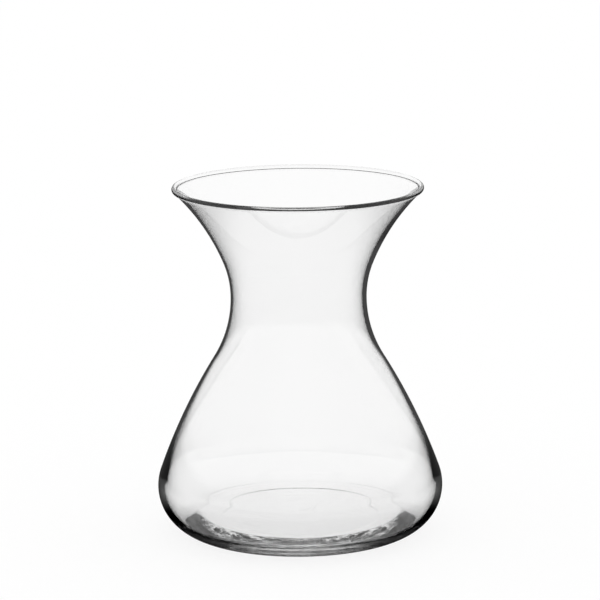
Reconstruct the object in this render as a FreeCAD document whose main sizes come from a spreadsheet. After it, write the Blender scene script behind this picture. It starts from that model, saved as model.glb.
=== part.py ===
"""Clear glass vase for forcing a hyacinth bulb in water, blown in one piece.

The glass is a body of revolution: one closed half-section, turned about the Z axis. The half-section runs
from the middle of the underside out over the foot, up the outside, round the lip, down the inside and across
the floor back to the axis. It is made of arcs that run smoothly into each other. The origin is the middle of
the circle that the foot stands on.
"""
import FreeCAD
import Part
import Sketcher
import os
from enum import IntEnum, auto
from math import atan2, pi, sqrt

V = FreeCAD.Vector

# Driving sizes in millimetres: name, value, what it is
SIZE_LIST = [
    ("waist_radius", 34.7, "outside radius at the narrowest place, where the bulb is held"),
    ("waist_height", 122.5, "height of the narrowest place above the table"),
    ("throat_radius", 48.5, "outside arc just above the waist"),
    ("flare_height", 57.5, "height of the flared collar above the waist"),
    ("flare_radius", 112.0, "outside arc from the throat to the lip"),
    ("rim_radius", 64.0, "outside radius of the mouth over the lip"),
    ("lip_radius", 1.3, "radius of the rounded bead at the lip"),
    ("lip_blend", 1.0, "radius between the bead and the wall"),
    ("shoulder_radius", 60.0, "outside arc below the waist"),
    ("flank_radius", 305.0, "long outside arc down to the belly"),
    ("belly_radius", 73.2, "outside radius at the widest place"),
    ("heel_radius", 24.5, "outside arc that turns the belly under"),
    ("foot_spread", 3.3, "how far the edge of the foot lies outside the middle of the heel arc"),
    ("foot_edge", 10.0, "radius between the heel and the foot"),
    ("foot_width", 10.0, "width of the flat ring that the vase stands on"),
    ("punt_height", 0.1, "rise of the underside inside the foot"),
    ("punt_edge", 20.0, "radius from the foot up into the underside"),
    ("punt_shoulder", 30.0, "radius from there to the level underside"),
    ("wall", 1.7, "thickness of the wall from the lip down to the flank"),
    ("belly_wall", 3.1, "thickness of the wall from the belly round to the corner"),
    ("belly_curve", 120.0, "radius of the inside arc that thickens the wall towards the belly"),
    ("corner_radius", 10.0, "inside arc between the belly and the floor"),
    ("base_thickness", 6.5, "height of the lowest ring of the floor above the table"),
    ("floor_rise", 1.75, "rise of the middle of the floor over that ring"),
    ("floor_edge", 14.0, "radius from the ring up to the level floor"),
]

# The sketcher's numbers for its own axes
H_AXIS_INDEX = -1
V_AXIS_INDEX = -2

# Turn of an arc on the way round the half-section
LEFT_TURN = 1
RIGHT_TURN = -1

FULL_TURN = 360
VOLUME_TOLERANCE_SHARE = 1e-6


class Spot(IntEnum):
    """Places on a line or arc, as the sketcher numbers them."""

    START = auto()
    END = auto()
    CENTRE = auto()


def make_sheet(doc):
    """The spreadsheet of driving sizes, and the same values by name."""
    sheet = doc.addObject("Spreadsheet::Sheet", "sizes")
    for row, (name, value, meaning) in enumerate(SIZE_LIST, start=1):
        sheet.set(f"A{row}", name)
        sheet.set(f"B{row}", str(value))
        sheet.setAlias(f"B{row}", name)
        sheet.set(f"C{row}", meaning)
    doc.recompute()
    return {name: float(getattr(sheet, name)) for name, _, _ in SIZE_LIST}


def crossing(first, first_distance, second, second_distance, side):
    """The point at given distances from two points, to the left or right on the way from first to second."""
    line = second - first
    along = (first_distance**2 - second_distance**2 + line.Length**2) / (2 * line.Length)
    across = sqrt(first_distance**2 - along**2)
    unit = line * (1 / line.Length)
    return first + unit * along + V(-unit.y, unit.x, 0) * (across * side)


def below(start, distance, drop):
    """The point at a distance from start that lies lower by the drop, towards the axis."""
    return start - V(sqrt(distance**2 - drop**2), drop, 0)


def outside_arcs(s):
    """Arcs from the underside up to the lip: name, centre, radius, turn."""
    wall_middle = s["wall"] / 2
    heel_x = s["belly_radius"] - s["heel_radius"]
    foot_x = heel_x + s["foot_spread"]
    foot_reach = s["heel_radius"] - s["foot_edge"]
    punt_reach = s["punt_edge"] + s["punt_shoulder"]

    punt_edge = V(foot_x - s["foot_width"], s["punt_edge"], 0)
    punt_shoulder = below(punt_edge, punt_reach, punt_reach - s["punt_height"])
    foot_edge = V(foot_x, s["foot_edge"], 0)
    heel = V(heel_x, s["foot_edge"] + sqrt(foot_reach**2 - s["foot_spread"] ** 2), 0)
    shoulder = V(s["waist_radius"] + s["shoulder_radius"], s["waist_height"], 0)
    throat = V(s["waist_radius"] + s["throat_radius"], s["waist_height"], 0)
    lip_y = s["waist_height"] + s["flare_height"] - s["lip_radius"]
    lip = V(s["rim_radius"] - s["lip_radius"], lip_y, 0)
    flank_reach = s["flank_radius"] - s["heel_radius"]
    flank = crossing(heel, flank_reach, shoulder, s["flank_radius"] + s["shoulder_radius"], LEFT_TURN)
    flare_reach = s["flare_radius"] - s["throat_radius"]
    flare = crossing(throat, flare_reach, lip, s["flare_radius"] + wall_middle, RIGHT_TURN)
    blend_reach = s["lip_radius"] + s["lip_blend"]
    lip_blend = crossing(flare, s["flare_radius"] - s["lip_blend"], lip, blend_reach, LEFT_TURN)
    return [
        ("punt_shoulder", punt_shoulder, s["punt_shoulder"], RIGHT_TURN),
        ("punt_edge", punt_edge, s["punt_edge"], LEFT_TURN),
        ("foot_edge", foot_edge, s["foot_edge"], LEFT_TURN),
        ("heel", heel, s["heel_radius"], LEFT_TURN),
        ("flank", flank, s["flank_radius"], LEFT_TURN),
        ("shoulder", shoulder, s["shoulder_radius"], RIGHT_TURN),
        ("throat", throat, s["throat_radius"], RIGHT_TURN),
        ("flare", flare, s["flare_radius"], RIGHT_TURN),
        ("lip_blend", lip_blend, s["lip_blend"], RIGHT_TURN),
        ("lip", lip, s["lip_radius"], LEFT_TURN),
    ]


def inside_arcs(s, outside):
    """Arcs from the lip down to the floor: name, centre, radius, turn."""
    centre = {name: point for name, point, _, _ in outside}
    flare_radius = s["flare_radius"] + s["wall"]
    flank_radius = s["flank_radius"] - s["wall"]
    belly_radius = s["heel_radius"] - s["belly_wall"]
    corner_y = s["base_thickness"] + s["corner_radius"]
    corner_reach = belly_radius - s["corner_radius"]
    floor_reach = s["corner_radius"] + s["floor_edge"]

    lip = centre["lip"]
    blend_reach = s["lip_radius"] + s["lip_blend"]
    lip_blend = crossing(centre["flare"], flare_radius + s["lip_blend"], lip, blend_reach, LEFT_TURN)
    heel = centre["heel"]
    curve_reach = s["belly_curve"] - belly_radius
    belly_curve = crossing(centre["flank"], flank_radius - s["belly_curve"], heel, curve_reach, LEFT_TURN)
    corner = V(heel.x + sqrt(corner_reach**2 - (heel.y - corner_y) ** 2), corner_y, 0)
    floor_edge = below(corner, floor_reach, floor_reach - s["floor_rise"])
    return [
        ("lip_blend_inside", lip_blend, s["lip_blend"], RIGHT_TURN),
        ("flare_inside", centre["flare"], flare_radius, LEFT_TURN),
        ("throat_inside", centre["throat"], s["throat_radius"] + s["wall"], LEFT_TURN),
        ("shoulder_inside", centre["shoulder"], s["shoulder_radius"] + s["wall"], LEFT_TURN),
        ("flank_inside", centre["flank"], flank_radius, RIGHT_TURN),
        ("belly_curve", belly_curve, s["belly_curve"], RIGHT_TURN),
        ("belly_inside", heel, belly_radius, RIGHT_TURN),
        ("corner", corner, s["corner_radius"], RIGHT_TURN),
        ("floor_edge", floor_edge, s["floor_edge"], LEFT_TURN),
    ]


def touching_point(arc, following):
    """Where an arc touches the arc that follows it."""
    _, centre, radius, turn = arc
    _, next_centre, next_radius, next_turn = following
    away = -1 if turn == next_turn and next_radius > radius else 1
    line = next_centre - centre
    return centre + line * (away * radius / line.Length)


def add_arc(sketch, arc, start, end):
    """The arc from start to end on the way round; gives its number and its ends in that order."""
    _, centre, radius, turn = arc
    angles = [atan2(point.y - centre.y, point.x - centre.x) for point in (start, end)]
    ends = (Spot.START, Spot.END)
    if turn == RIGHT_TURN:
        angles.reverse()
        ends = (Spot.END, Spot.START)
    if angles[1] < angles[0]:
        angles[1] += 2 * pi
    circle = Part.Circle(centre, V(0, 0, 1), radius)
    return sketch.addGeometry(Part.ArcOfCircle(circle, angles[0], angles[1])), ends


def add_chain(sketch, arcs, first_point, last_point):
    """Arcs from point to point, each joined smoothly to the next; gives their numbers and ends by name."""
    points = [first_point]
    points += [touching_point(arc, following) for arc, following in zip(arcs, arcs[1:])]
    points += [last_point]
    made = {arc[0]: add_arc(sketch, arc, *points[i : i + 2]) for i, arc in enumerate(arcs)}
    for arc, following in zip(arcs, arcs[1:]):
        join_smoothly(sketch, made[arc[0]], made[following[0]])
    return made


def add_line(sketch, start, end):
    """The line from start to end on the way round; gives its number and its ends in that order."""
    return sketch.addGeometry(Part.LineSegment(start, end)), (Spot.START, Spot.END)


def join(sketch, kind, item, following):
    """The end of an item is the start of the next one."""
    number, ends = item
    next_number, next_ends = following
    sketch.addConstraint(Sketcher.Constraint(kind, number, ends[1], next_number, next_ends[0]))


def join_smoothly(sketch, item, following):
    """The end of an item is the start of the next one, with one tangent."""
    join(sketch, "Tangent", item, following)


def dimension(sketch, name, expression, kind, *where):
    """A dimension with a name of its own, bound to the sheet."""
    start_value = sketch.evalExpression(expression)
    number = sketch.addConstraint(Sketcher.Constraint(kind, *where, start_value))
    sketch.renameConstraint(number, name)
    sketch.setExpression(f"Constraints.{name}", expression)


def place(sketch, name, number, spot, across=None, up=None):
    """Dimensions from the origin to a spot on an item, across, up or both."""
    if across:
        dimension(sketch, f"{name}_across", across, "DistanceX", H_AXIS_INDEX, Spot.START, number, spot)
    if up:
        dimension(sketch, f"{name}_up", up, "DistanceY", H_AXIS_INDEX, Spot.START, number, spot)


def align(sketch, kind, number, other):
    """The centres of two arcs are in one place or at one height."""
    sketch.addConstraint(Sketcher.Constraint(kind, number, Spot.CENTRE, other, Spot.CENTRE))


def set_radii(sketch, arcs):
    """Each arc's radius; down to the flank the inside follows the outside at the wall's thickness."""
    radius_of = {
        "punt_shoulder": "sizes.punt_shoulder",
        "punt_edge": "sizes.punt_edge",
        "foot_edge": "sizes.foot_edge",
        "heel": "sizes.heel_radius",
        "flank": "sizes.flank_radius",
        "shoulder": "sizes.shoulder_radius",
        "throat": "sizes.throat_radius",
        "flare": "sizes.flare_radius",
        "lip_blend": "sizes.lip_blend",
        "lip": "sizes.lip_radius",
        "lip_blend_inside": "sizes.lip_blend",
        "flare_inside": "sizes.flare_radius + sizes.wall",
        "throat_inside": "sizes.throat_radius + sizes.wall",
        "shoulder_inside": "sizes.shoulder_radius + sizes.wall",
        "flank_inside": "sizes.flank_radius - sizes.wall",
        "belly_curve": "sizes.belly_curve",
        "belly_inside": "sizes.heel_radius - sizes.belly_wall",
        "corner": "sizes.corner_radius",
        "floor_edge": "sizes.floor_edge",
    }
    for name, (number, _) in arcs.items():
        dimension(sketch, f"{name}_radius", radius_of[name], "Radius", number)


def set_places(sketch, arcs, lines):
    """The dimensions that put the arcs and lines where they belong."""
    number = {name: item[0] for name, item in {**arcs, **lines}.items()}
    heel_across = "sizes.belly_radius - sizes.heel_radius"
    foot_across = f"{heel_across} + sizes.foot_spread"
    place(sketch, "punt", number["punt"], Spot.START, up="sizes.punt_height")
    place(sketch, "punt_edge", number["punt_edge"], Spot.CENTRE, across=f"{foot_across} - sizes.foot_width")
    place(sketch, "foot_edge", number["foot_edge"], Spot.CENTRE, across=foot_across)
    place(sketch, "heel", number["heel"], Spot.CENTRE, across=heel_across)

    waist_spot = arcs["throat"][1][0]
    waist = (number["throat"], waist_spot)
    place(sketch, "waist", *waist, across="sizes.waist_radius", up="sizes.waist_height")
    sketch.addConstraint(Sketcher.Constraint("Horizontal", number["shoulder"], Spot.CENTRE, *waist))
    place(
        sketch,
        "lip",
        number["lip"],
        Spot.CENTRE,
        across="sizes.rim_radius - sizes.lip_radius",
        up="sizes.waist_height + sizes.flare_height - sizes.lip_radius",
    )

    inside_spot = arcs["throat_inside"][1][1]
    place(sketch, "throat_inside", number["throat_inside"], Spot.CENTRE, up="sizes.waist_height")
    place(sketch, "waist_inside", number["throat_inside"], inside_spot, up="sizes.waist_height")
    align(sketch, "Coincident", number["flare_inside"], number["flare"])
    align(sketch, "Horizontal", number["flank_inside"], number["flank"])
    align(sketch, "Coincident", number["belly_inside"], number["heel"])
    place(sketch, "corner", number["corner"], Spot.CENTRE, up="sizes.base_thickness + sizes.corner_radius")
    place(sketch, "floor", number["floor"], Spot.START, up="sizes.base_thickness + sizes.floor_rise")


def centre_lip_on_wall(sketch, s, lip, flare):
    """A circle as wide as the wall round the middle of the lip, which the outside of the flare touches."""
    lip_number = lip[0]
    middle = sketch.Geometry[lip_number].Center
    number = sketch.addGeometry(Part.Circle(middle, V(0, 0, 1), s["wall"] / 2), True)
    sketch.addConstraint(Sketcher.Constraint("Coincident", number, Spot.CENTRE, lip_number, Spot.CENTRE))
    dimension(sketch, "wall_middle", "sizes.wall / 2", "Radius", number)
    sketch.addConstraint(Sketcher.Constraint("Tangent", number, flare[0]))


def draw_half_section(sketch, s):
    """The closed outline of the glass on one side of the axis."""
    outside = outside_arcs(s)
    inside = inside_arcs(s, outside)
    centre = {name: point for name, point, _, _ in outside + inside}
    punt_end = V(centre["punt_shoulder"].x, s["punt_height"], 0)
    foot_start = V(centre["punt_edge"].x, 0, 0)
    foot_end = V(centre["foot_edge"].x, 0, 0)
    floor_height = s["base_thickness"] + s["floor_rise"]
    floor_start = V(centre["floor_edge"].x, floor_height, 0)
    axis_top = V(0, floor_height, 0)
    axis_foot = V(0, s["punt_height"], 0)

    lines = {
        "punt": add_line(sketch, axis_foot, punt_end),
        "foot": add_line(sketch, foot_start, foot_end),
        "floor": add_line(sketch, floor_start, axis_top),
        "axis": add_line(sketch, axis_top, axis_foot),
    }
    arcs = add_chain(sketch, outside[:2], punt_end, foot_start)
    arcs |= add_chain(sketch, outside[2:] + inside, foot_end, floor_start)
    join_smoothly(sketch, lines["punt"], arcs["punt_shoulder"])
    join_smoothly(sketch, arcs["punt_edge"], lines["foot"])
    join_smoothly(sketch, lines["foot"], arcs["foot_edge"])
    join_smoothly(sketch, arcs["floor_edge"], lines["floor"])
    join(sketch, "Coincident", lines["floor"], lines["axis"])
    join(sketch, "Coincident", lines["axis"], lines["punt"])

    for name in ("punt", "foot", "floor"):
        sketch.addConstraint(Sketcher.Constraint("Horizontal", lines[name][0]))
    sketch.addConstraint(Sketcher.Constraint("PointOnObject", lines["foot"][0], Spot.START, H_AXIS_INDEX))
    for end in (Spot.START, Spot.END):
        sketch.addConstraint(Sketcher.Constraint("PointOnObject", lines["axis"][0], end, V_AXIS_INDEX))
    set_radii(sketch, arcs)
    set_places(sketch, arcs, lines)
    centre_lip_on_wall(sketch, s, arcs["lip"], arcs["flare"])


def make_vase(doc, s):
    """The vase as one turned solid."""
    body = doc.addObject("PartDesign::Body", "glass_vase")
    body.Label = "glass_vase"
    plane = next(item for item in body.Origin.OriginFeatures if item.Role == "XZ_Plane")
    sketch = body.newObject("Sketcher::SketchObject", "half_section")
    sketch.AttachmentSupport = (plane, [""])
    sketch.MapMode = "FlatFace"
    draw_half_section(sketch, s)
    doc.recompute()
    turned = body.newObject("PartDesign::Revolution", "turned_glass")
    turned.Profile = sketch
    turned.ReferenceAxis = (sketch, ["V_Axis"])
    turned.Angle = FULL_TURN
    doc.recompute()
    return body, sketch


def check_document(doc):
    """Stops if an object of the document failed."""
    for item in doc.Objects:
        if {"Invalid", "Error"} & set(item.State):
            raise RuntimeError(f"{item.Name} failed: {item.State}")


def check_vase(body, sketch):
    """Stops unless the sketch is fully set and the solid is sound, with the turned section's volume."""
    freedom = sketch.solve()
    if freedom or sketch.RedundantConstraints or sketch.ConflictingConstraints:
        raise RuntimeError("the half-section doesn't solve")
    if body.Shape.isNull() or not body.Shape.isValid() or len(body.Shape.Solids) != 1:
        raise RuntimeError("the vase is not one sound solid")
    section = Part.Face(sketch.Shape.Wires[0])
    expected = section.Area * 2 * pi * section.CenterOfMass.x
    if abs(body.Shape.Volume / expected - 1) > VOLUME_TOLERANCE_SHARE:
        raise RuntimeError("the turned volume differs from the half-section's")


def main():
    doc = FreeCAD.newDocument("hyacinth_vase")
    sizes = make_sheet(doc)
    body, sketch = make_vase(doc, sizes)
    check_document(doc)
    check_vase(body, sketch)
    os.makedirs("parts", exist_ok=True)
    body.Shape.exportStep(f"parts/{body.Label}.step")
    box = body.Shape.optimalBoundingBox()
    size = f"{box.XLength:.2f} x {box.YLength:.2f} x {box.ZLength:.2f} mm"
    print(f"{body.Label}: {size}, {body.Shape.Volume:.1f} mm3")


main()
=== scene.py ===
"""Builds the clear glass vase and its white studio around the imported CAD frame.

The vase is turned from a half-section of arcs that touch each other, and stands on a pale floor.
Points of the half-section are complex numbers: the real part is the distance from the axis, the
imaginary part the height above the table. Lengths are in metres.
"""

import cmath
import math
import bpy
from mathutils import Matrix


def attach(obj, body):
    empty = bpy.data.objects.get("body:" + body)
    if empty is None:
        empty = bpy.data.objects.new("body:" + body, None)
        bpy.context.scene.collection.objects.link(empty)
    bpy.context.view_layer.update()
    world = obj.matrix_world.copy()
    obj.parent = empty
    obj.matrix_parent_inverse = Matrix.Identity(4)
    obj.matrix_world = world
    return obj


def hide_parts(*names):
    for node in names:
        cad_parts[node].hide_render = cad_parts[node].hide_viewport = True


bl_info = {
    "name": "Bulb Vase",
    "version": (1, 0, 0),
    "blender": (4, 5, 0),
    "location": "View3D > Sidebar > Bulb Vase",
    "description": "Clear blown glass vase for a hyacinth bulb, with its studio",
    "category": "Add Mesh",
}

import bpy
from bpy.props import FloatProperty, FloatVectorProperty, IntProperty, PointerProperty
from mathutils import Matrix, Vector

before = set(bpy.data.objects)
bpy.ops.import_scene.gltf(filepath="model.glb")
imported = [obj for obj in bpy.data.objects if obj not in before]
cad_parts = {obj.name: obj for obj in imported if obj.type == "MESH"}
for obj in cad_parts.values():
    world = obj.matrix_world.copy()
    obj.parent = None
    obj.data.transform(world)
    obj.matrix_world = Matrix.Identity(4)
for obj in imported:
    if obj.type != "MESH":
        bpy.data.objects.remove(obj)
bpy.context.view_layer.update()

NODE = "glass_vase"
BODY = "root"
PIECE = "blown_glass_vase"

LEFT = 1
RIGHT = -1
MERGE_DISTANCE = 1e-6
MIN_ARC_STEPS = 3
STREAK_DETAIL = 2
WHITE = (1, 1, 1, 1)

# Limits halfway between the counts of a light path's reflections or of its crossings of the skin.
NONE_OR_ONE = 0.5
ONE_OR_TWO = 1.5
FRONT_OR_BACK_WALL = 3.5


def length(name, default, description):
    """A size in metres that a user can change."""
    return FloatProperty(
        name=name,
        description=description,
        default=default,
        precision=5,
        unit="LENGTH",
        subtype="DISTANCE",
    )


def share(name, default, description):
    """A share from 0 to 1 that a user can change."""
    return FloatProperty(
        name=name, description=description, default=default, min=0, max=1, subtype="FACTOR"
    )


def part(name, default, description):
    """A part of a direction, from -1 to 1, that a user can change."""
    return FloatProperty(name=name, description=description, default=default, min=-1, max=1)


def angle(name, default, description):
    """An angle, given here in degrees, that a user can change."""
    return FloatProperty(
        name=name,
        description=description,
        default=math.radians(default),
        unit="ROTATION",
        subtype="ANGLE",
    )


class VaseSizes(bpy.types.PropertyGroup):
    """Sizes of the glass, the same as the CAD part's."""

    waist_radius: length("Waist radius", 0.0347, "Outside radius where the bulb is held")
    waist_height: length("Waist height", 0.1225, "Height of the narrowest place above the table")
    throat_radius: length("Throat arc", 0.0485, "Outside arc just above the waist")
    flare_height: length("Collar height", 0.0575, "Height of the flared collar above the waist")
    flare_radius: length("Collar arc", 0.112, "Outside arc from the throat to the lip")
    rim_radius: length("Mouth radius", 0.064, "Outside radius of the mouth over the lip")
    lip_radius: length("Lip radius", 0.0013, "Radius of the rounded bead at the lip")
    lip_blend: length("Lip blend", 0.001, "Radius between the bead and the wall")
    shoulder_radius: length("Shoulder arc", 0.06, "Outside arc below the waist")
    flank_radius: length("Flank arc", 0.305, "Long outside arc down to the belly")
    belly_radius: length("Belly radius", 0.0732, "Outside radius at the widest place")
    heel_radius: length("Heel arc", 0.0245, "Outside arc that turns the belly under")
    foot_spread: length("Foot spread", 0.0033, "How far outside the heel's centre the foot ends")
    foot_edge: length("Foot edge", 0.01, "Radius between the heel and the foot")
    foot_width: length("Foot width", 0.01, "Width of the flat ring that the vase stands on")
    punt_height: length("Punt height", 0.0001, "Rise of the underside inside the foot")
    punt_edge: length("Punt edge", 0.02, "Radius from the foot up into the underside")
    punt_shoulder: length("Punt shoulder", 0.03, "Radius from there to the level underside")
    wall: length("Wall", 0.0017, "Thickness of the wall from the lip down to the flank")
    belly_wall: length("Belly wall", 0.0031, "Thickness of the wall from the belly to the corner")
    belly_curve: length("Belly curve", 0.12, "Inside arc that thickens the wall towards the belly")
    corner_radius: length("Corner radius", 0.01, "Inside arc between the belly and the floor")
    base_thickness: length("Base", 0.0065, "Height of the floor's lowest ring above the table")
    floor_rise: length("Floor rise", 0.00175, "Rise of the middle of the floor over that ring")
    floor_edge: length("Floor edge", 0.014, "Radius from the ring up to the level floor")
    facet_depth: length("Facet depth", 0.000004, "How far a facet may lie inside the true curve")
    segments: IntProperty(
        name="Segments", description="Facets round the vase", default=256, min=32, max=512
    )


class GlassFinish(bpy.types.PropertyGroup):
    """How the glass looks, and how uneven it is."""

    tint: FloatVectorProperty(
        name="Tint",
        description="Colour that the glass lets through",
        default=(0.975, 0.975, 0.975),
        min=0,
        max=1,
        size=3,
        subtype="COLOR",
    )
    ior: FloatProperty(
        name="IOR", description="Index of refraction of soda-lime glass", default=1.52
    )
    streak_width: length("Streak width", 0.0025, "Width of the fine streaks round the heel")
    streak_length: length("Streak length", 0.025, "Length of these streaks round the vase")
    streak_depth: length("Streak depth", 0.00014, "Depth of these streaks")
    streak_top: length("Streak top", 0.016, "Height where the streaks have faded out")
    streak_slope: part("Streak slope", 0.3, "A face that looks up more than this has no streaks")
    lean: length("Wall lean", 0.0004, "How far the inside of the wall is shifted to one side")
    lean_start: length("Lean start", 0.03, "Height where the wall starts to lean")
    lean_full: share("Lean full", 0.9, "Share of the waist's height from which it leans fully")
    lean_fade: share("Lean fade", 0.8, "Share of the lip's height where the lean starts to fade")
    lean_end: share("Lean end", 0.97, "Share of the lip's height where it has faded out")


class StudioSettings(bpy.types.PropertyGroup):
    """Camera, floor and light."""

    look_down: angle("Look down", 11.862, "How far the camera looks down")
    tilt: angle("Tilt", -0.495, "Roll of the camera")
    distance: length("Distance", 1.7854, "From the camera to the point it looks at")
    aim_height: length("Aim height", 0.12056, "Height of the point that the camera looks at")
    aim_across: length("Aim across", 0.00068, "How far that point lies to the right of the axis")
    lens: FloatProperty(name="Lens", description="Focal length in millimetres", default=210.0)
    bounces: IntProperty(
        name="Bounces", description="How often light turns inside the glass", default=24
    )
    floor_size: length("Floor size", 12.0, "Side of the floor")
    floor_drop: length("Floor drop", 0.0003, "Gap between the foot and the floor")
    floor_colour: FloatVectorProperty(
        name="Floor colour",
        description="Colour of the floor",
        default=(1.0, 1.0, 1.0),
        min=0,
        max=1,
        size=3,
        subtype="COLOR",
    )
    floor_glow: share("Floor glow", 0.85, "Share of the floor that stays white in the shade")
    # The settings from here to the end of the group shape painted reflections: the glass shows the
    # world and the floor darker than they are, black close by, dark low down and at the sides, and
    # light only in front.
    dark_level: share("Dark level", 0.055, "Level of the dark surroundings that the glass mirrors")
    dark_edge: part("Dark edge", -0.05, "Height in a reflection's direction where the dark ends")
    light_edge: part("Light edge", 0.1, "Height in it where full light starts")
    deep_dark_edge: part("Deep dark edge", 0.1, "The dark edge for light reflected more than once")
    deep_light_edge: part("Deep light edge", 0.3, "The light edge for such light")
    side_start: part("Side start", 0.2, "How far across such light starts to darken")
    side_end: part("Side end", 0.5, "How far across such light is dark")
    front_end: part("Front end", 0.0, "How far backwards the front light starts to fade")
    back_start: part("Back start", 0.7, "How far backwards there is no front light")
    near_floor: length("Near floor", 0.04, "The glass mirrors the floor black up to this distance")
    far_floor: length("Far floor", 0.14, "It mirrors the floor at its full level from here on")


def crossing(first, first_distance, second, second_distance, side):
    """The point at given distances from two points, left or right of the line between them."""
    line = second - first
    along = (first_distance**2 - second_distance**2 + abs(line) ** 2) / (2 * abs(line))
    across = math.sqrt(first_distance**2 - along**2)
    return first + line / abs(line) * complex(along, across * side)


def below(start, distance, drop):
    """The point at a distance from start that lies lower by the drop, towards the axis."""
    return start - complex(math.sqrt(distance**2 - drop**2), drop)


def outside_arcs(s):
    """Arcs from the underside up to the lip: centre, radius, turn."""
    heel_x = s.belly_radius - s.heel_radius
    foot_x = heel_x + s.foot_spread
    punt_reach = s.punt_edge + s.punt_shoulder
    punt_edge = complex(foot_x - s.foot_width, s.punt_edge)
    punt_shoulder = below(punt_edge, punt_reach, punt_reach - s.punt_height)
    foot_edge = complex(foot_x, s.foot_edge)
    heel_rise = math.sqrt((s.heel_radius - s.foot_edge) ** 2 - s.foot_spread**2)
    heel = complex(heel_x, s.foot_edge + heel_rise)
    shoulder = complex(s.waist_radius + s.shoulder_radius, s.waist_height)
    throat = complex(s.waist_radius + s.throat_radius, s.waist_height)
    lip = complex(s.rim_radius - s.lip_radius, s.waist_height + s.flare_height - s.lip_radius)
    flank_reach = s.flank_radius - s.heel_radius
    flank = crossing(heel, flank_reach, shoulder, s.flank_radius + s.shoulder_radius, LEFT)
    flare_reach = s.flare_radius - s.throat_radius
    flare = crossing(throat, flare_reach, lip, s.flare_radius + s.wall / 2, RIGHT)
    blend_reach = s.lip_radius + s.lip_blend
    lip_blend = crossing(flare, s.flare_radius - s.lip_blend, lip, blend_reach, LEFT)
    return {
        "punt_shoulder": (punt_shoulder, s.punt_shoulder, RIGHT),
        "punt_edge": (punt_edge, s.punt_edge, LEFT),
        "foot_edge": (foot_edge, s.foot_edge, LEFT),
        "heel": (heel, s.heel_radius, LEFT),
        "flank": (flank, s.flank_radius, LEFT),
        "shoulder": (shoulder, s.shoulder_radius, RIGHT),
        "throat": (throat, s.throat_radius, RIGHT),
        "flare": (flare, s.flare_radius, RIGHT),
        "lip_blend": (lip_blend, s.lip_blend, RIGHT),
        "lip": (lip, s.lip_radius, LEFT),
    }


def inside_arcs(s, outside):
    """Arcs from the lip down to the floor: centre, radius, turn."""
    centre = {name: arc[0] for name, arc in outside.items()}
    flare, heel = centre["flare"], centre["heel"]
    flare_radius = s.flare_radius + s.wall
    flank_radius = s.flank_radius - s.wall
    belly_radius = s.heel_radius - s.belly_wall
    blend_reach = s.lip_radius + s.lip_blend
    lip_blend = crossing(flare, flare_radius + s.lip_blend, centre["lip"], blend_reach, LEFT)
    belly_curve = crossing(
        centre["flank"], flank_radius - s.belly_curve, heel, s.belly_curve - belly_radius, LEFT
    )
    corner_y = s.base_thickness + s.corner_radius
    corner_reach = belly_radius - s.corner_radius
    corner_across = math.sqrt(corner_reach**2 - (heel.imag - corner_y) ** 2)
    corner = complex(heel.real + corner_across, corner_y)
    floor_reach = s.corner_radius + s.floor_edge
    floor_edge = below(corner, floor_reach, floor_reach - s.floor_rise)
    return {
        "lip_blend_inside": (lip_blend, s.lip_blend, RIGHT),
        "flare_inside": (flare, flare_radius, LEFT),
        "throat_inside": (centre["throat"], s.throat_radius + s.wall, LEFT),
        "shoulder_inside": (centre["shoulder"], s.shoulder_radius + s.wall, LEFT),
        "flank_inside": (centre["flank"], flank_radius, RIGHT),
        "belly_curve": (belly_curve, s.belly_curve, RIGHT),
        "belly_inside": (heel, belly_radius, RIGHT),
        "corner": (corner, s.corner_radius, RIGHT),
        "floor_edge": (floor_edge, s.floor_edge, LEFT),
    }


def touching_point(arc, following):
    """Where an arc touches the arc that follows it."""
    centre, radius, turn = arc
    next_centre, next_radius, next_turn = following
    away = -1 if turn == next_turn and next_radius > radius else 1
    line = next_centre - centre
    return centre + line * (away * radius / abs(line))


def place_in_section(point):
    """The point of the half-section in space."""
    return Vector((point.real, 0, point.imag))


def draw_line(start, end):
    """Draws on from the selected point, straight."""
    step = place_in_section(end) - place_in_section(start)
    bpy.ops.mesh.extrude_region_move(TRANSFORM_OT_translate={"value": step})


def draw_arc(arc, start, end, facet_depth):
    """Draws on from the selected point, round the arc's centre."""
    centre, radius, turn = arc
    sweep = cmath.phase((end - centre) / (start - centre))
    if sweep * turn < 0:
        sweep += 2 * math.pi * turn
    facet = 2 * math.acos(1 - facet_depth / radius)
    steps = max(MIN_ARC_STEPS, math.ceil(abs(sweep) / facet))
    bpy.ops.mesh.spin(
        steps=steps,
        angle=sweep,
        center=place_in_section(centre),
        axis=(0, 1, 0),
        use_auto_merge=False,
    )


def draw_arcs(arcs, start, end, facet_depth):
    """Draws a run of arcs, each from where it touches the one before."""
    points = [start] + [touching_point(*pair) for pair in zip(arcs, arcs[1:])] + [end]
    for arc, first, last in zip(arcs, points, points[1:]):
        draw_arc(arc, first, last, facet_depth)


def select_none():
    """Nothing is selected, so an operator acts only on what is chosen next."""
    bpy.ops.object.select_all(action="DESELECT")


def draw_half_section(s):
    """The half-section, drawn from the middle of the underside to the middle of the floor."""
    outside = outside_arcs(s)
    inside = inside_arcs(s, outside)
    floor_height = s.base_thickness + s.floor_rise
    axis_foot = complex(0, s.punt_height)
    punt_end = complex(outside["punt_shoulder"][0].real, s.punt_height)
    foot_start = complex(outside["punt_edge"][0].real, 0)
    foot_end = complex(outside["foot_edge"][0].real, 0)
    floor_start = complex(inside["floor_edge"][0].real, floor_height)
    punt = [outside.pop("punt_shoulder"), outside.pop("punt_edge")]

    bpy.ops.mesh.select_all(action="SELECT")
    bpy.ops.mesh.merge(type="CENTER")
    bpy.ops.transform.translate(value=place_in_section(axis_foot))
    draw_line(axis_foot, punt_end)
    draw_arcs(punt, punt_end, foot_start, s.facet_depth)
    draw_line(foot_start, foot_end)
    draw_arcs([*outside.values(), *inside.values()], foot_end, floor_start, s.facet_depth)
    draw_line(floor_start, complex(0, floor_height))


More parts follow.
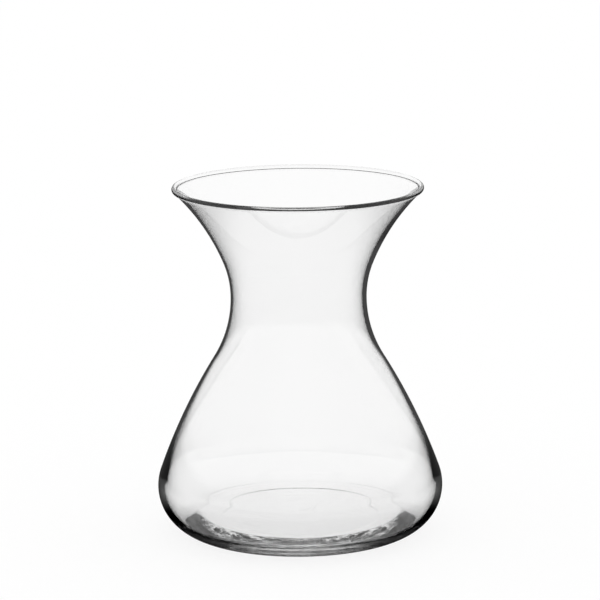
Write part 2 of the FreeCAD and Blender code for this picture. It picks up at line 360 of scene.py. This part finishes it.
def turn_round_axis(segments):
    """Turns the half-section into the closed skin of the glass."""
    bpy.ops.mesh.select_all(action="SELECT")
    bpy.ops.mesh.spin(
        steps=segments, angle=2 * math.pi, center=(0, 0, 0), axis=(0, 0, 1), use_auto_merge=True
    )
    bpy.ops.mesh.select_all(action="SELECT")
    bpy.ops.mesh.remove_doubles(threshold=MERGE_DISTANCE)
    bpy.ops.mesh.normals_make_consistent(inside=False)


def smoothstep(value, low, high):
    """0 below low, 1 above high, and a smooth rise between."""
    t = min(max((value - low) / (high - low), 0), 1)
    return t * t * (3 - 2 * t)


def lean_inside(vase, s, finish):
    """Shifts the inside of the wall to one side, most at the waist, as in uneven blown glass."""
    if not finish.lean:
        return
    group = vase.vertex_groups.new(name="inside_wall")
    lip_height = s.waist_height + s.flare_height
    full = finish.lean_full * s.waist_height
    fade, end = finish.lean_fade * lip_height, finish.lean_end * lip_height
    for vertex in vase.data.vertices:
        across = Vector((vertex.co.x, vertex.co.y, 0))
        if vertex.normal.dot(across) < 0:
            rise = smoothstep(vertex.co.z, finish.lean_start, full)
            fall = 1 - smoothstep(vertex.co.z, fade, end)
            group.add([vertex.index], rise * fall, "REPLACE")
    lean = vase.modifiers.new("lean", "DISPLACE")
    lean.direction = "X"
    lean.mid_level = 0
    lean.strength = -finish.lean
    lean.vertex_group = group.name
    bpy.ops.object.modifier_apply(modifier=lean.name)
    vase.vertex_groups.clear()


class NodeKit:
    """Adds and joins the nodes of one tree."""

    def __init__(self, tree):
        self.tree = tree
        tree.nodes.clear()

    def add(self, kind, inputs=(), **settings):
        """A node with its settings, and its inputs given as values or as sockets to join."""
        node = self.tree.nodes.new(kind)
        for name, value in settings.items():
            setattr(node, name, value)
        for name, value in dict(inputs).items():
            if isinstance(value, bpy.types.NodeSocket):
                self.tree.links.new(value, node.inputs[name])
            else:
                node.inputs[name].default_value = value
        return node


def ramp(kit, value, low, high, start, end):
    """Goes smoothly from start to end as the value goes from low to high."""
    inputs = {"Value": value, "From Min": low, "From Max": high, "To Min": start, "To Max": end}
    return kit.add("ShaderNodeMapRange", inputs, interpolation_type="SMOOTHSTEP").outputs["Result"]


def calculate(kit, operation, *values):
    """The result of a math node."""
    return kit.add("ShaderNodeMath", dict(enumerate(values)), operation=operation).outputs[0]


def mix_numbers(kit, share_of_second, first, second):
    """The first number where the share is 0, the second where it is 1."""
    inputs = {"Factor": share_of_second, "A": first, "B": second}
    return kit.add("ShaderNodeMix", inputs, data_type="FLOAT").outputs["Result"]


def glass_material(finish):
    """Clear glass with fine streaks round its heel and foot, where it was worked last."""
    material = bpy.data.materials.new("clear_glass")
    material.use_nodes = True
    kit = NodeKit(material.node_tree)
    place = kit.add("ShaderNodeTexCoord")
    parts = kit.add("ShaderNodeSeparateXYZ", {0: place.outputs["Object"]})
    x, y, z = (parts.outputs[name] for name in "XYZ")
    flat = kit.add("ShaderNodeCombineXYZ", {0: x, 1: y})
    radius = kit.add("ShaderNodeVectorMath", {0: flat.outputs[0]}, operation="LENGTH")
    up_the_heel = calculate(kit, "ADD", radius.outputs["Value"], z)
    across = calculate(kit, "MULTIPLY", up_the_heel, 1 / finish.streak_width)
    along_x = calculate(kit, "MULTIPLY", x, 1 / finish.streak_length)
    along_y = calculate(kit, "MULTIPLY", y, 1 / finish.streak_length)
    pattern = kit.add("ShaderNodeCombineXYZ", {0: along_x, 1: along_y, 2: across})
    inputs = {"Vector": pattern.outputs[0], "Scale": 1, "Detail": STREAK_DETAIL}
    streaks = kit.add("ShaderNodeTexNoise", inputs)
    low = ramp(kit, z, finish.streak_top / 2, finish.streak_top, 1, 0)
    shape = kit.add("ShaderNodeNewGeometry")
    facing = kit.add("ShaderNodeSeparateXYZ", {0: shape.outputs["True Normal"]}).outputs["Z"]
    outside = calculate(kit, "LESS_THAN", facing, finish.streak_slope)
    strength = calculate(kit, "MULTIPLY", low, outside)
    inputs = {"Strength": strength, "Distance": finish.streak_depth, "Height": streaks.outputs[0]}
    bump = kit.add("ShaderNodeBump", inputs)
    glass = kit.add(
        "ShaderNodeBsdfPrincipled",
        {
            "Base Color": (*finish.tint, 1),
            "Roughness": 0,
            "IOR": finish.ior,
            "Transmission Weight": 1,
            "Normal": bump.outputs[0],
        },
    )
    kit.add("ShaderNodeOutputMaterial", {"Surface": glass.outputs["BSDF"]})
    return material


class BULBVASE_OT_glass(bpy.types.Operator):
    """Turns the glass vase from its half-section"""

    bl_idname = "bulb_vase.glass"
    bl_label = "Glass Vase"

    def execute(self, context):
        s = context.scene.bulb_vase_sizes
        finish = context.scene.bulb_vase_finish
        select_none()
        bpy.ops.mesh.primitive_plane_add(size=s.waist_radius)
        vase = context.object
        vase.name = PIECE
        vase.data.name = PIECE
        bpy.ops.object.mode_set(mode="EDIT")
        draw_half_section(s)
        turn_round_axis(s.segments)
        bpy.ops.object.mode_set(mode="OBJECT")
        bpy.ops.object.shade_smooth()
        lean_inside(vase, s, finish)
        vase.data.materials.append(glass_material(finish))
        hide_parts(NODE)
        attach(vase, BODY)
        return {"FINISHED"}


def read_light_path(kit):
    """1 or 0 each: light that shows a painted, mostly dark reflection, light reflected more than
    once, light that never went in.

    That painted reflection is shown by light reflected more than once, or once at the front wall.
    """
    path = kit.add("ShaderNodeLightPath")
    reflections, crossings = path.outputs["Glossy Depth"], path.outputs["Transmission Depth"]
    once = calculate(kit, "GREATER_THAN", reflections, NONE_OR_ONE)
    more = calculate(kit, "GREATER_THAN", reflections, ONE_OR_TWO)
    in_front = calculate(kit, "LESS_THAN", crossings, FRONT_OR_BACK_WALL)
    mirrored = calculate(kit, "MAXIMUM", calculate(kit, "MULTIPLY", once, in_front), more)
    return mirrored, more, calculate(kit, "LESS_THAN", crossings, NONE_OR_ONE)


def painted_front_reflection(kit, studio, backwards, outside, behind):
    """Painted reflection of light in front of the vase, shown only by the outside, fading to the
    level behind it.
    """
    return ramp(kit, backwards, studio.front_end, studio.back_start, outside, behind)


def floor_material(studio):
    """Pale matt floor, which the glass shows as a painted reflection: dark, black close by, and
    light in front.
    """
    material = bpy.data.materials.new("pale_floor")
    material.use_nodes = True
    kit = NodeKit(material.node_tree)
    colour = (*studio.floor_colour, 1)
    pale = kit.add("ShaderNodeBsdfDiffuse", {"Color": colour})
    glow = kit.add("ShaderNodeEmission", {"Color": colour, "Strength": 1})
    inputs = {0: studio.floor_glow, 1: pale.outputs[0], 2: glow.outputs[0]}
    lit = kit.add("ShaderNodeMixShader", inputs)
    mirrored, _, outside = read_light_path(kit)
    place = kit.add("ShaderNodeTexCoord").outputs["Object"]
    direction = kit.add("ShaderNodeVectorMath", {0: place}, operation="NORMALIZE")
    backwards = kit.add("ShaderNodeSeparateXYZ", {0: direction.outputs["Vector"]}).outputs["Y"]
    front = painted_front_reflection(kit, studio, backwards, outside, studio.dark_level)
    # In reflections the floor is a painted level instead of lit: black up to the near distance,
    # and at its full painted level from the far one.
    travelled = kit.add("ShaderNodeLightPath").outputs["Ray Length"]
    away = ramp(kit, travelled, studio.near_floor, studio.far_floor, 0, 1)
    level = calculate(kit, "MULTIPLY", calculate(kit, "MAXIMUM", front, studio.dark_level), away)
    painted_reflection = kit.add("ShaderNodeEmission", {"Color": WHITE, "Strength": level})
    mix = kit.add("ShaderNodeMixShader", {0: mirrored, 1: lit.outputs[0], 2: painted_reflection.outputs[0]})
    kit.add("ShaderNodeOutputMaterial", {"Surface": mix.outputs[0]})
    return material


def light_world(scene, studio):
    """White all round; the glass shows a painted reflection of it, dark low down, and at the sides
    deep in its wall.
    """
    world = bpy.data.worlds.new("white_studio")
    world.use_nodes = True
    scene.world = world
    kit = NodeKit(world.node_tree)
    direction = kit.add("ShaderNodeTexCoord").outputs["Generated"]
    parts = kit.add("ShaderNodeSeparateXYZ", {0: direction})
    x, y, z = (parts.outputs[name] for name in "XYZ")
    above = ramp(kit, z, studio.dark_edge, studio.light_edge, studio.dark_level, 1)
    high = ramp(kit, z, studio.deep_dark_edge, studio.deep_light_edge, studio.dark_level, 1)
    across = calculate(kit, "ABSOLUTE", x)
    between = ramp(kit, across, studio.side_start, studio.side_end, 1, studio.dark_level)
    deep = calculate(kit, "MULTIPLY", high, between)
    # Light that the glass reflects sees this painted, darker level instead of the white that
    # lights the scene.
    mirrored, more, outside = read_light_path(kit)
    dark = mix_numbers(kit, more, above, deep)
    painted_reflection = calculate(kit, "MAXIMUM", dark, painted_front_reflection(kit, studio, y, outside, 0))
    level = mix_numbers(kit, mirrored, 1.0, painted_reflection)
    background = kit.add("ShaderNodeBackground", {"Color": WHITE, "Strength": level})
    kit.add("ShaderNodeOutputWorld", {"Surface": background.outputs[0]})


def set_camera(scene, studio):
    """The camera of the photograph's view."""
    camera = bpy.data.objects.new("camera", bpy.data.cameras.new("camera"))
    scene.collection.objects.link(camera)
    camera.data.lens = studio.lens
    forward = Vector((0, math.cos(studio.look_down), -math.sin(studio.look_down)))
    place = Vector((studio.aim_across, 0, studio.aim_height)) - forward * studio.distance
    pitch = Matrix.Rotation(math.pi / 2 - studio.look_down, 4, "X")
    roll = Matrix.Rotation(studio.tilt, 4, "Z")
    camera.matrix_world = Matrix.Translation(place) @ pitch @ roll
    scene.camera = camera


class BULBVASE_OT_studio(bpy.types.Operator):
    """Sets the pale floor, the white surroundings and the camera"""

    bl_idname = "bulb_vase.studio"
    bl_label = "Studio"

    def execute(self, context):
        scene = context.scene
        studio = scene.bulb_vase_studio
        select_none()
        place = (0, 0, -studio.floor_drop)
        bpy.ops.mesh.primitive_plane_add(size=studio.floor_size, location=place)
        floor = context.object
        floor.name = "floor"
        floor.data.materials.append(floor_material(studio))
        light_world(scene, studio)
        set_camera(scene, studio)
        scene.view_settings.view_transform = "Standard"
        scene.cycles.max_bounces = studio.bounces
        scene.cycles.glossy_bounces = studio.bounces
        scene.cycles.transmission_bounces = studio.bounces
        return {"FINISHED"}


class BULBVASE_PT_sidebar(bpy.types.Panel):
    """Lists the steps that build the vase and its studio"""

    bl_idname = "BULBVASE_PT_sidebar"
    bl_label = "Bulb Vase"
    bl_space_type = "VIEW_3D"
    bl_region_type = "UI"
    bl_category = "Bulb Vase"

    def draw(self, context):
        for operator in OPERATORS:
            self.layout.operator(operator.bl_idname)


OPERATORS = (BULBVASE_OT_glass, BULBVASE_OT_studio)
SETTINGS = {
    "bulb_vase_sizes": VaseSizes,
    "bulb_vase_finish": GlassFinish,
    "bulb_vase_studio": StudioSettings,
}
CLASSES = (*SETTINGS.values(), *OPERATORS, BULBVASE_PT_sidebar)


def register():
    for cls in CLASSES:
        bpy.utils.register_class(cls)
    for name, cls in SETTINGS.items():
        setattr(bpy.types.Scene, name, PointerProperty(type=cls))


def unregister():
    for name in SETTINGS:
        delattr(bpy.types.Scene, name)
    for cls in reversed(CLASSES):
        bpy.utils.unregister_class(cls)


def main():
    register()
    bpy.ops.bulb_vase.glass()
    bpy.ops.bulb_vase.studio()


if __name__ == "__main__":
    main()
